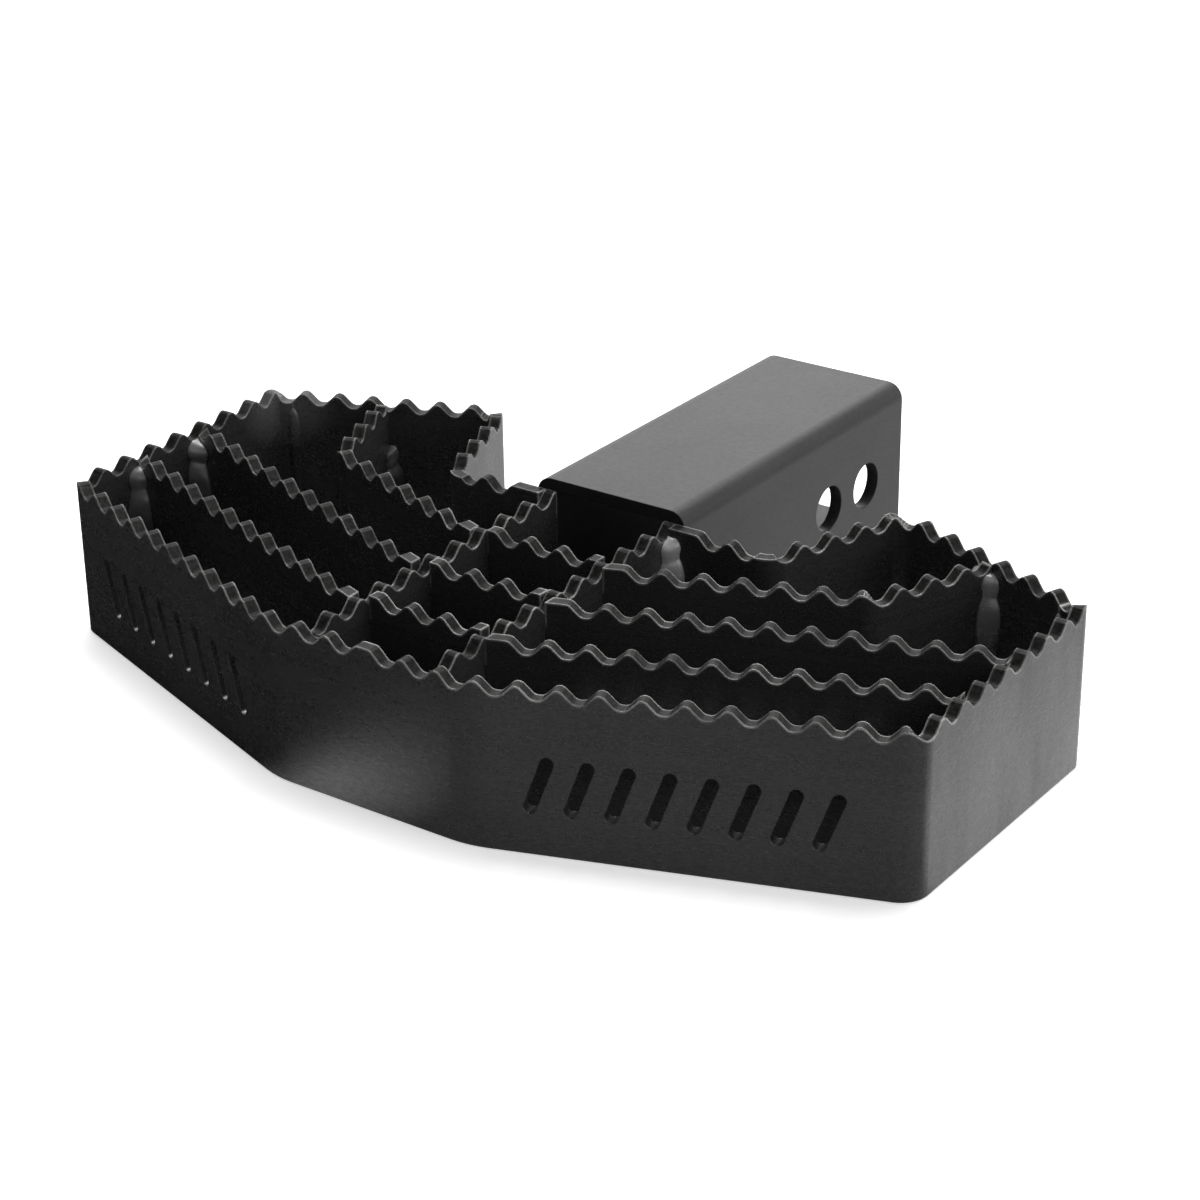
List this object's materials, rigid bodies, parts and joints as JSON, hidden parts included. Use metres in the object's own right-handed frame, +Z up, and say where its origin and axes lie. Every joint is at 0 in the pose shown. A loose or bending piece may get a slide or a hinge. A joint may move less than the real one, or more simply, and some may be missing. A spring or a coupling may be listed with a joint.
{
  "type": "hitch receiver step",
  "caption": "Welded steel step with upright toothed plates inside a bent toothed outer band, carried on a square hollow tube with cross pin holes for a vehicle hitch receiver.",
  "frame": {"origin": "on the ground plane under the middle of the part's bounding box", "axes": "+Y along the tube towards the vehicle, +Z up, +X to the right seen from the tread side looking at the vehicle"},
  "size_m": [0.3536, 0.287, 0.0635],
  "materials": {
    "plate_coat": "satin black powder coat on laser-cut steel plate",
    "tube_coat": "satin black powder coat on square steel tube",
    "weld_coat": "glossier black powder coat over rippled weld beads"
  },
  "bodies": {
    "root": {"receiver_tube": "tube_coat", "front_band": "plate_coat", "left_rear_band": "plate_coat", "right_rear_band": "plate_coat", "left_spine": "plate_coat", "right_spine": "plate_coat", "front_centre_slat": "plate_coat", "middle_centre_slat": "plate_coat", "rear_centre_slat": "plate_coat", "left_front_slat": "plate_coat", "right_front_slat": "plate_coat", "left_middle_slat": "plate_coat", "right_middle_slat": "plate_coat", "left_rear_slat": "plate_coat", "right_rear_slat": "plate_coat", "left_seam_welds": "weld_coat", "right_seam_welds": "weld_coat", "left_return_welds": "weld_coat", "right_return_welds": "weld_coat", "left_end_welds": "weld_coat", "right_end_welds": "weld_coat", "left_spine_welds": "weld_coat", "right_spine_welds": "weld_coat", "tube_welds": "weld_coat"}
  },
  "joints": []
}
